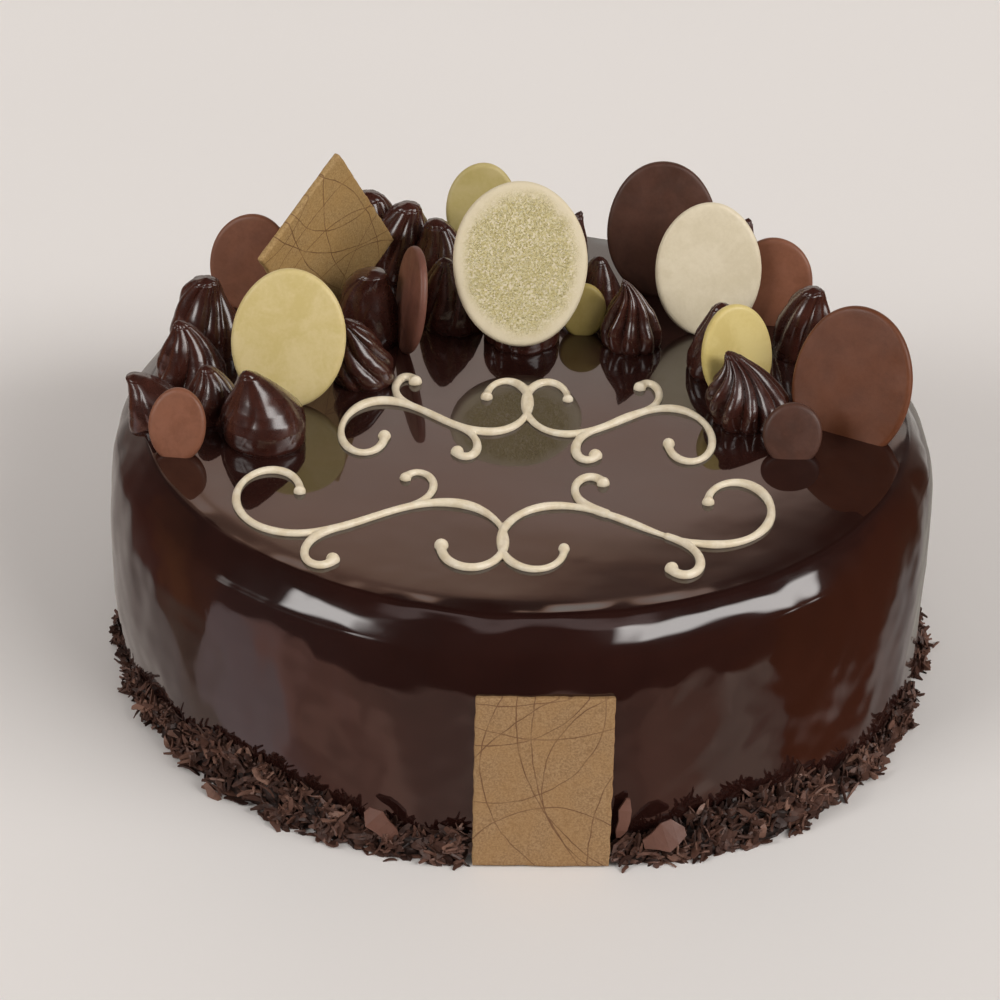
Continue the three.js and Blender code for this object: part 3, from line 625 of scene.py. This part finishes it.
def slab(outline, normal, t, edge, dome, steps=10, inner=18):
    """A flat cast piece: an outline in its own plane with a rounded edge and a slightly full face."""
    half = t / 2
    profile = [(f, None) for f in np.linspace(0.02, 1, inner)]
    rows, local_edge = [], []
    arc = np.linspace(np.pi / 2, -np.pi / 2, steps)
    core = outline - normal * edge
    for f, _ in profile:
        rows.append(np.column_stack([core * f, np.full(len(core), half + dome * (1 - f * f))]))
        local_edge.append(f * 0.9)
    for a in arc[1:-1]:
        rows.append(np.column_stack([core + normal * edge * math.cos(a) ** 0.7, np.full(len(core), half * math.sin(a))]))
        local_edge.append(1.0)
    for f, _ in profile[::-1]:
        rows.append(np.column_stack([core * f, np.full(len(core), -half - 0.3 * dome * (1 - f * f))]))
        local_edge.append(f * 0.9)
    co = np.stack(rows)
    pts, faces = rings(co)
    edge_value = np.concatenate([np.repeat(local_edge, co.shape[1]), [0.0, 0.0]])
    return pts, faces, edge_value


def disc(name, row, seed):
    kind, x, y, z, a, b, t, turn, lean, roll = row
    around = 120
    th = np.linspace(0, 2 * np.pi, around, endpoint=False)
    rng = np.random.default_rng(seed)
    ph = rng.uniform(0, 2 * np.pi, 4)
    uneven = 1 + 0.006 * np.sin(2 * th + ph[0]) + 0.006 * np.sin(3 * th + ph[1]) + 0.003 * np.sin(5 * th + ph[2])
    outline = np.column_stack([a * np.cos(th), b * np.sin(th)]) * uneven[:, None]
    normal = np.column_stack([np.cos(th) / a, np.sin(th) / b])
    normal /= np.linalg.norm(normal, axis=1)[:, None]
    pts, faces, edge = slab(outline, normal, t, min(1.5, 0.52 * t), 0.22)
    bow = rng.uniform(-0.25, 0.25)
    pts[:, 2] += bow * ((pts[:, 0] * math.cos(ph[3]) + pts[:, 1] * math.sin(ph[3])) / b) ** 2
    pts[:, 2] += 0.035 * waves(pts, 11, seed)
    local = pts.copy()
    c, s = math.cos(math.radians(roll)), math.sin(math.radians(roll))
    pts[:, :2] = pts[:, :2] @ np.array([[c, s], [-s, c]])
    world_pts = placed(pts, x, y, z, turn, lean)
    return piece(name + "_cast", world_pts, faces, DISC_RETONES.get(name, CHOC[kind]), [name],
                 attributes={"local": local, "edge": edge})


for i, (name, row) in enumerate(DISCS.items()):
    disc(name, row, 100 + i)


def plaque(name, spec, mat, seed):
    w_, h_ = spec["w"], spec["h"]
    per, corner = 64, 0.5
    half = np.array([w_ / 2, h_ / 2]) - corner
    outline, normal = [], []
    for q, (sx, sy) in enumerate(((1, 1), (-1, 1), (-1, -1), (1, -1))):
        for a in np.linspace(0, np.pi / 2, 4):
            ang = q * np.pi / 2 + a
            nrm = np.array([math.cos(ang), math.sin(ang)])
            outline.append(np.array([sx, sy]) * half + nrm * corner)
            normal.append(nrm)
        nx, ny = ((-1, 1), (-1, -1), (1, -1), (1, 1))[q]
        start, nrm = outline[-1], normal[-1]
        end = np.array([nx, ny]) * half + nrm * corner
        for f in np.linspace(0, 1, per)[1:-1]:
            outline.append(start + (end - start) * f)
            normal.append(nrm)
    outline, normal = np.array(outline), np.array(normal)
    flat3 = np.column_stack([outline, np.zeros(len(outline))])
    outline = outline + normal * (0.06 * waves(flat3, 5, seed) + 0.03 * waves(flat3, 1.8, seed + 1))[:, None]
    pts, faces, _ = slab(outline, normal, PLAQUE_T, 0.28, 0.0, steps=7, inner=26)
    pts[:, 2] += 0.05 * waves(pts * (1, 1, 0), 16, seed + 2)
    local = pts.copy()
    if "roll" in spec:
        pts[:, :2] -= (w_ / 2, h_ / 2)
        c, s = math.cos(math.radians(spec["roll"])), math.sin(math.radians(spec["roll"]))
        pts[:, :2] = pts[:, :2] @ np.array([[c, s], [-s, c]])
        world_pts = placed(pts, *spec["apex"], spec["turn"], spec["lean"])
    else:
        pts[:, 1] += h_ / 2 + 0.5
        world_pts = placed(pts, spec["x"], spec["y"], 0.0, spec["turn"], spec["lean"])
    return piece(name + "_sheet", world_pts, faces, mat, [name], attributes={"local": local})


plaque("plaque_front", FRONT, plaque_material("transfer_front", 5, FRONT["w"], FRONT["h"], (0.87, 0.90, 0.87)), 31)
plaque("plaque_top", TOP, plaque_material("transfer_top", 9, TOP["w"], TOP["h"], (1.07, 1.18, 1.01)), 41)

# ------------------------------------------------------------------ piped rosettes


# Half width of a rosette at a share of its height: full low down, drawn up to a blunt tip.
ROSETTE_SIDE = np.array([(0, 0.955), (0.03, 0.99), (0.07, 1.0), (0.14, 1.0), (0.25, 0.98), (0.37, 0.90), (0.5, 0.77), (0.61, 0.63), (0.73, 0.46),
                         (0.85, 0.295), (0.93, 0.195), (0.965, 0.14), (0.985, 0.095), (1.0, 0.04)])
fine_u = np.linspace(0, 1, 401)
kernel = np.hanning(25)
fine_r = np.convolve(np.pad(np.interp(fine_u, *ROSETTE_SIDE.T), 12, mode="edge"), kernel / kernel.sum(), "valid")
fine_r = np.minimum(fine_r, 0.62 * np.sqrt(np.maximum(1.004 - fine_u, 0)))  # rounds the very tip


def outline_of(u):
    return np.interp(u, fine_u, np.where(fine_u > 0.9, fine_r, np.interp(fine_u, *ROSETTE_SIDE.T)))


def rosette(name, row, seed):
    x, y, r, h, lean_x, lean_y, ridges, twist, depth, hook_x, hook_y, start, slim = row
    rng = np.random.default_rng(seed)
    around, up_rings = ridges * 20, 96
    th = np.linspace(0, 2 * np.pi, around, endpoint=False)
    u = 1 - np.power(1 - np.linspace(0, 1, up_rings), 1.35)
    u = np.concatenate([[-6 / h, -3 / h], u[:-1], [0.9985]])
    uu = np.clip(u, 0, 1)
    # each ridge is a rounded lobe of its own width and depth between sharp valleys
    widths = 1 + 0.22 * rng.uniform(-1, 1, ridges)
    starts = np.concatenate([[0], np.cumsum(widths)]) / widths.sum()
    phase = th / (2 * np.pi)
    which = np.clip(np.searchsorted(starts, phase, side="right") - 1, 0, ridges - 1)
    within = (phase - starts[which]) / (starts[which + 1] - starts[which])
    lobe = np.sin(np.pi * within) ** 0.75
    depths = depth * (1 + 0.25 * rng.uniform(-1, 1, ridges))[which]
    strength = (0.45 + 0.55 * smoothstep(0, 0.25, uu)) * (1 - 0.45 * smoothstep(0.75, 1.0, uu))
    ridge = 1 - strength[:, None] * (depths * (1 - lobe))[None] * 1.35
    turn = np.radians(twist) * uu ** 1.1 + math.radians(start)
    wander = np.radians(6) * np.sin(uu * 5 + rng.uniform(0, 6))
    rolls = 1 + 0.025 * np.sin(uu * 8 + rng.uniform(0, 6)) * (1 - uu)
    radius = r * 1.03 * (np.power(outline_of(uu), slim) * rolls * np.sqrt(np.clip((1.002 - uu) / 0.05, 0, 1)))[:, None] * ridge
    ang = th[None] + (turn + wander)[:, None]
    drift = uu ** 1.6
    bent = smoothstep(0.66, 1.0, uu) ** 1.4
    px = x + radius * np.cos(ang) + (lean_x * drift + hook_x * bent)[:, None]
    py = y + radius * np.sin(ang) + (lean_y * drift + hook_y * bent)[:, None]
    droop = 0.35 * math.hypot(hook_x, hook_y) * smoothstep(0.85, 1.0, uu) ** 2
    pz = np.broadcast_to((CAKE_H + u * h - droop)[:, None], px.shape)
    over = np.hypot(px, py)
    pz = pz + (np.interp(over, RIM_R, RIM_Z) - CAKE_H - 0.2) * (over > R_FLAT) * (1 - smoothstep(0.0, 0.35, uu))[:, None]
    co = np.stack([px, py, pz], -1)
    flat_pts = co.reshape(-1, 3)
    out = np.stack([np.cos(ang), np.sin(ang), np.zeros_like(ang)], -1).reshape(-1, 3)
    swollen = (0.26 * waves(flat_pts, 12, seed) + 0.04 * waves(flat_pts, 5, seed + 1)) * np.repeat(1 - 0.7 * uu ** 2, around)
    co = (flat_pts + out * swollen[:, None]).reshape(co.shape)
    pts, faces = rings(co)
    return piece(name + "_piped", pts, faces, GANACHE, [name])


for i, (name, row) in enumerate(ROSETTES.items()):
    rosette(name, row, 300 + i)

# ------------------------------------------------------------------ cream scrolls


def curl(x, y, heading, length, bend_by, n=60):
    pts = [(x, y)]
    for i in range(1, n + 1):
        a = heading + bend_by * 2 * math.pi * (i / n) ** 2
        x += math.cos(a) * length / n
        y += math.sin(a) * length / n
        pts.append((x, y))
    return np.array(pts)


def scroll_lines(tall):
    tilt = math.radians(STEM_TILT)
    stem = np.vstack([curl(0, 0, tilt + math.pi, 1, CURL_TURNS)[::-1], curl(0, 0, tilt, 1, CURL_TURNS)[1:]])
    low, span = stem[:, 0].min(), np.ptp(stem[:, 0])
    lines = [stem]
    for at, length, turns in TENDRILS:
        i = round(at * (len(stem) - 1))
        p, q = (stem[i - 1], stem[i]) if at > 0.5 else (stem[i + 1], stem[i])
        lines.append(curl(*q, math.atan2(q[1] - p[1], q[0] - p[0]), length * span, turns, 30))
    return [np.column_stack([(l[:, 0] - low) / span, l[:, 1] / span * tall]) for l in lines]


def squeeze(points, ends, seed):
    """A line of cream: a round-backed bead that thickens and thins, swelling where it starts or stops."""
    seg = np.linalg.norm(np.diff(points, axis=0), axis=1)
    s = np.concatenate([[0], np.cumsum(seg)])
    n = max(8, int(s[-1] / 0.7))
    t = np.linspace(0, s[-1], n)
    line = np.column_stack([np.interp(t, s, points[:, 0]), np.interp(t, s, points[:, 1])])
    for _ in range(2):
        line[1:-1] = 0.25 * line[:-2] + 0.5 * line[1:-1] + 0.25 * line[2:]
    tangent = np.gradient(line, axis=0)
    tangent /= np.linalg.norm(tangent, axis=1)[:, None]
    across = np.column_stack([-tangent[:, 1], tangent[:, 0]])
    width = BEAD * (1.0 + 0.10 * waves(np.column_stack([line, np.zeros(n)]), 17, seed))
    for at_start in (True, False):
        d = t if at_start else s[-1] - t
        if ends[0 if at_start else 1]:
            width = width * (1 + 0.62 * np.exp(-(np.maximum(d - 0.7, 0) / 1.5) ** 2))
            width = np.where(d < 1.4, width * np.sqrt(np.clip(1 - ((1.4 - d) / 1.45) ** 2, 0.02, 1)), width)
    th = np.linspace(0, 2 * np.pi, 16, endpoint=False)
    co = np.zeros((n, 16, 3))
    co[:, :, :2] = line[:, None] + across[:, None] * (width[:, None] * np.cos(th))[..., None]
    co[:, :, 2] = CAKE_H + 0.25 + width[:, None] * (np.where(np.sin(th) > 0, 1.12, 0.6) * np.sin(th))
    return rings(co)


def piping(name, row, seed):
    x, y, half, up = row["x"], row["y"], row["half"], row["up"]
    reach = half + BEAD * 0.6
    pts, faces, offset = [], [[], []], 0
    for i, line in enumerate(scroll_lines(row["tall"])):
        left = np.column_stack([x - half + line[:, 0] * reach, y + line[:, 1] * half * up])
        mirrored = left * (-1, 1) + (2 * x, 0)
        for j, one in enumerate((left, mirrored)):
            p, f = squeeze(one, (True, True) if i == 0 else (False, True), seed + 7 * i + j)
            pts.append(p)
            for k in (0, 1):
                faces[k].append(f[k] + offset)
            offset += len(p)
    obj = piece(name + "_cream", np.vstack(pts), [np.vstack(faces[0]), np.vstack(faces[1])], CREAM, [name])
    # the strokes melt together where they cross
    remesh = obj.modifiers.new("remesh", "REMESH")
    remesh.mode, remesh.voxel_size, remesh.use_smooth_shade = "VOXEL", 0.22 * MM, True
    smooth = obj.modifiers.new("smooth", "SMOOTH")
    smooth.factor, smooth.iterations = 0.5, 6
    bpy.context.view_layer.update()
    fused = bpy.data.meshes.new_from_object(obj.evaluated_get(bpy.context.evaluated_depsgraph_get()))
    obj.modifiers.clear()
    obj.data = fused
    obj.data.shade_smooth()
    return obj


for i, (name, row) in enumerate(SCROLLS.items()):
    piping(name, row, 500 + 40 * i)

# ------------------------------------------------------------------ shavings round the foot


def clear_of_plaque(x, y, margin):
    return (np.abs(x - FRONT["x"]) > FRONT["w"] / 2 + margin) | (y > 0)


def bed_height(a):
    rim = np.column_stack([110 * np.cos(a), 110 * np.sin(a), a * 0])
    d = np.degrees(a)
    settled = sum(low * np.exp(-((d - at) / wide) ** 2) for at, wide, low in ((-55, 20, 1.4), (-27, 20, 4.2), (-168, 12, 3.2)))
    return np.maximum(COLLAR_H - 3.9 + swell(a, 2) - settled + 0.9 * waves(rim, 12, 61), 2.2)


def bed_reach(a):
    rim = np.column_stack([110 * np.cos(a), 110 * np.sin(a), a * 0])
    return np.maximum(COLLAR_T - 3.0 + swell(a, 3) + 0.5 * waves(rim, 14, 62), 0.6)


def sparse(a):
    """1 where only a few loose flakes cling, at the far right and far left."""
    d = np.degrees(a)
    return np.clip(np.exp(-(((np.abs(d) - 180) / 20) ** 2)) + np.exp(-(((d + 4) / 32) ** 2)), 0, 1)


def fullness(a):
    """How thickly the shavings lie: patchy at both sides, packed in front and behind."""
    rim = np.column_stack([110 * np.cos(a), 110 * np.sin(a), a * 0])
    return np.clip(1 - sparse(a) * (0.50 + 0.40 * waves(rim, 15, 66)), 0.06, 1)


def bed():
    """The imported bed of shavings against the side, lower and tighter than where the flakes reach."""
    around, loop = 900, 22
    a = np.linspace(-np.pi, np.pi, around, endpoint=False)
    t = np.linspace(0, 1, loop)
    behind_plaque = ~clear_of_plaque(110 * np.cos(a), 110 * np.sin(a), 1.5)
    full = fullness(a)
    height = bed_height(a) * (0.12 + 0.88 * full)
    reach = np.where(behind_plaque, -0.6, bed_reach(a) * full)
    rows = []
    for f in t:  # from the floor outwards up to the glaze
        z = height * np.sin(f * np.pi / 2) ** 0.9
        r = R_FOOT + reach * np.cos(f * np.pi / 2) ** 0.7 - 0.6 * f
        r = np.maximum(r, side_radius(z) - 0.8)
        rows.append(np.column_stack([r * np.cos(a) + sway(z), r * np.sin(a), z]))
    inner = R_FOOT - 3.0
    rows.append(np.column_stack([inner * np.cos(a), inner * np.sin(a), height * 0.95]))
    rows.append(np.column_stack([inner * np.cos(a), inner * np.sin(a), np.zeros(around)]))
    co = np.stack(rows)
    m, n, _ = co.shape
    p = co.reshape(-1, 3)
    radial = np.stack([np.tile(np.cos(a), m), np.tile(np.sin(a), m), np.zeros(m * n)], -1)
    lumps = 0.65 * waves(p, 6.5, 63) + 0.3 * waves(p, 2.4, 64)
    lumps[(m - 2) * n:] = 0
    lumps *= np.tile(np.where(behind_plaque, 0.0, 1.0), m)
    p = p + radial * lumps[:, None]
    p[:, 2] = np.maximum(p[:, 2] + 0.4 * lumps * (p[:, 2] > 0.5), 0.0)
    i = np.arange(m)[:, None] * n + np.arange(n)[None]
    j = np.arange(m)[:, None] * n + (np.arange(n)[None] + 1) % n
    i2, j2 = np.roll(i, -1, 0), np.roll(j, -1, 0)
    quads = np.stack([i, j, j2, i2], -1).reshape(-1, 4)
    tint = 0.5 + 0.25 * waves(p, 2.5, 65)
    return piece("shavings_bed", p, [quads], CORE, ["shavings_ring"], attributes={"tint": tint})


bed()


def flakes(name, mat, seed, centre, axis, face, length, width, thick, curl_by, tint, nodes=("shavings_ring",)):
    """Grated strips as one mesh: each a thin bent strip with ragged sides and drawn ends."""
    rng = np.random.default_rng(seed)
    n, stations = len(centre), 5
    face = face - axis * np.einsum("ij,ij->i", face, axis)[:, None]
    face /= np.linalg.norm(face, axis=1)[:, None]
    across = np.cross(face, axis)
    t = np.linspace(-0.5, 0.5, stations)
    taper = np.array([0.35, 0.85, 1.0, 0.85, 0.35])[None] * rng.uniform(0.65, 1.25, (n, stations))
    bend_a = curl_by[:, None] * t[None]
    safe = np.where(np.abs(curl_by) < 1e-3, 1e-3, curl_by)[:, None]
    along = np.sin(bend_a) / safe * length[:, None]
    rise = (1 - np.cos(bend_a)) / safe * length[:, None]
    wind = rng.uniform(-0.5, 0.5, n)[:, None] * t[None]
    side_dir = across[:, None] * np.cos(wind)[..., None] + face[:, None] * np.sin(wind)[..., None]
    up_dir = face[:, None] * np.cos(wind)[..., None] - across[:, None] * np.sin(wind)[..., None]
    spine = centre[:, None] + axis[:, None] * along[..., None] + face[:, None] * rise[..., None]
    shift = rng.uniform(-0.18, 0.18, (n, stations))
    co = np.zeros((n, stations, 4, 3))
    for k, (sa, sb) in enumerate(((-1, -1), (1, -1), (1, 1), (-1, 1))):
        w_ = (width[:, None] * 0.5 * (sa * taper + shift))[..., None]
        co[:, :, k] = spine + side_dir * w_ + up_dir * (sb * thick[:, None, None] * 0.5)
    co[..., 2] = np.maximum(co[..., 2], 0.02)
    base = (np.arange(n) * stations * 4)[:, None, None]
    st = (np.arange(stations - 1) * 4)[None, :, None]
    k = np.arange(4)[None, None]
    k2 = (k + 1) % 4
    quads = np.stack([base + st + k, base + st + k2, base + st + 4 + k2, base + st + 4 + k], -1).reshape(-1, 4)
    b0 = base[:, 0, 0]
    ends = np.concatenate([np.stack([b0 + 3, b0 + 2, b0 + 1, b0], -1),
                           np.stack([b0 + (stations - 1) * 4 + q for q in range(4)], -1)])
    return piece(name, co.reshape(-1, 3), [np.concatenate([quads, ends])], mat, list(nodes), smooth=False,
                 attributes={"tint": np.repeat(tint, stations * 4)})


def scatter(count, seed, kind):
    """Places of flakes on the bed: where each lies, how it points and how it faces."""
    rng = np.random.default_rng(seed)
    a = rng.uniform(-np.pi, np.pi, count * 3)
    a = a[clear_of_plaque(np.cos(a) * 112, np.sin(a) * 112, 2.0) & (rng.uniform(0, 1, len(a)) < fullness(a))][:count]
    n = len(a)
    out = np.column_stack([np.cos(a), np.sin(a), np.zeros(n)])
    tan = np.column_stack([-np.sin(a), np.cos(a), np.zeros(n)])
    upv = np.tile([0.0, 0.0, 1.0], (n, 1))
    full = fullness(a)
    high = (bed_height(a) + 0.6) * (0.25 + 0.75 * full)
    far = (bed_reach(a) + 0.7) * full
    if kind == "body":
        f = rng.uniform(0, 1, n) ** 0.9
        z = high * np.sin(f * np.pi / 2) ** 0.95 + rng.normal(0, 0.5, n)
        r = R_FOOT + far * np.cos(f * np.pi / 2) ** 0.7 + rng.normal(0, 0.5, n)
        pitch = np.arcsin(np.clip(rng.normal(0.15, 0.68, n), -0.97, 0.97))
    elif kind == "crest":
        z = high + rng.uniform(-2.4, 1.5, n)
        r = side_radius(z) + rng.uniform(0.2, 1.6, n)
        pitch = np.radians(rng.uniform(15, 85, n)) * rng.choice([-1, 1], n)
    elif kind == "spill":
        z = rng.uniform(0.2, 0.8, n)
        r = R_FOOT + far + np.abs(rng.normal(0, 1.1, n))
        pitch = np.radians(rng.uniform(-8, 14, n))
    else:
        f = rng.uniform(0.05, 0.85, n)
        z = high * np.sin(f * np.pi / 2)
        r = R_FOOT + far * np.cos(f * np.pi / 2) ** 0.7 + rng.uniform(0.1, 0.9, n)
        pitch = np.radians(rng.uniform(-40, 60, n))
    z = np.maximum(z, 0.35)
    heaped = waves(np.column_stack([110 * np.cos(a), 110 * np.sin(a), z]), 7.5, 67)
    r = np.maximum(r + (0.75 * heaped if kind != "crest" else 0), side_radius(z) + 0.2)
    yaw = rng.uniform(-1, 1, n)
    level = tan * np.cos(yaw * 1.1)[:, None] + out * np.sin(yaw * 1.1)[:, None]
    axis = level * np.cos(pitch)[:, None] + upv * np.sin(pitch)[:, None]
    face = out + 0.6 * upv + 0.75 * rng.normal(size=(n, 3))
    if kind == "spill":
        face = upv + 0.25 * rng.normal(size=(n, 3))
    if kind == "crest":
        axis = axis - out * 0.2
    axis /= np.linalg.norm(axis, axis=1)[:, None]
    centre = out * r[:, None]
    centre[:, 0] += sway(z)
    centre[:, 2] = z
    return rng, n, centre, axis, face, heaped


parts = []
for kind, count, seed, lengths, widths in (
        ("body", 3600, 81, (2.8, 7.6), (0.7, 1.9)),
        ("crest", 600, 82, (2.6, 6.4), (0.6, 1.5)),
        ("spill", 260, 83, (1.6, 4.6), (0.6, 1.6)),
        ("broad", 280, 84, (4.6, 8.0), (1.8, 3.0))):
    rng, n, centre, axis, face, heaped = scatter(count, seed, kind)
    parts.append((centre, axis, face, rng.uniform(*lengths, n), rng.uniform(*widths, n), rng.uniform(0.25, 0.6, n),
                  rng.uniform(-1.6, 1.6, n), np.clip(rng.beta(2.2, 3.0, n) + 0.11 * heaped + (0.08 if kind == "broad" else 0.0), 0, 1)))
flakes("flakes_dark", FLAKES, 95, *(np.concatenate(column) for column in zip(*parts)))

# a few large curls of lighter chocolate lie on the front of the bed
CURLS = [(-107.4, 8.4, 112.6, 11.5, 5.8, -44, 0.5), (-71.0, 7.6, 113.8, 11.5, 7.0, 12, 0.45),
         (-76.2, 12.6, 111.2, 12.0, 3.6, 82, 0.7), (40.0, 6.0, 112.8, 8.0, 4.0, 30, 0.4), (115.0, 7.0, 112.6, 8.5, 4.2, -30, 0.5)]
rows = np.array(CURLS)
ang = np.radians(rows[:, 0])
out = np.column_stack([np.cos(ang), np.sin(ang), 0 * ang])
tan = np.column_stack([-np.sin(ang), np.cos(ang), 0 * ang])
centre = out * rows[:, 2:3]
centre[:, 2] = rows[:, 1]
tilt = np.radians(rows[:, 5])
axis = tan * np.cos(tilt)[:, None] + np.array([[0, 0, 1.0]]) * np.sin(tilt)[:, None]
flakes("flakes_milk", MILK_FLAKES, 95, centre, axis, out + np.array([[0, 0, 0.5]]), rows[:, 3], rows[:, 4],
       np.full(len(rows), 0.8), np.full(len(rows), -0.9), rows[:, 6])

# ------------------------------------------------------------------ floor
floor_mat, n = material("studio_floor")
n.put(n.shader, "Base Color", n.ramp(n.noise(n.place, 400, 2), [(0.3, (0.81, 0.80, 0.78)), (0.7, (0.83, 0.82, 0.80))]))
n.put(n.shader, "Roughness", 0.75)
n.put(n.shader, "Specular IOR Level", 0.2)
bpy.ops.mesh.primitive_circle_add(vertices=96, radius=7.0, fill_type="NGON", location=(0, 0, 0))
floor = bpy.context.object
floor.name = "floor"
floor.data.materials.append(floor_mat)
floor.visible_glossy = False
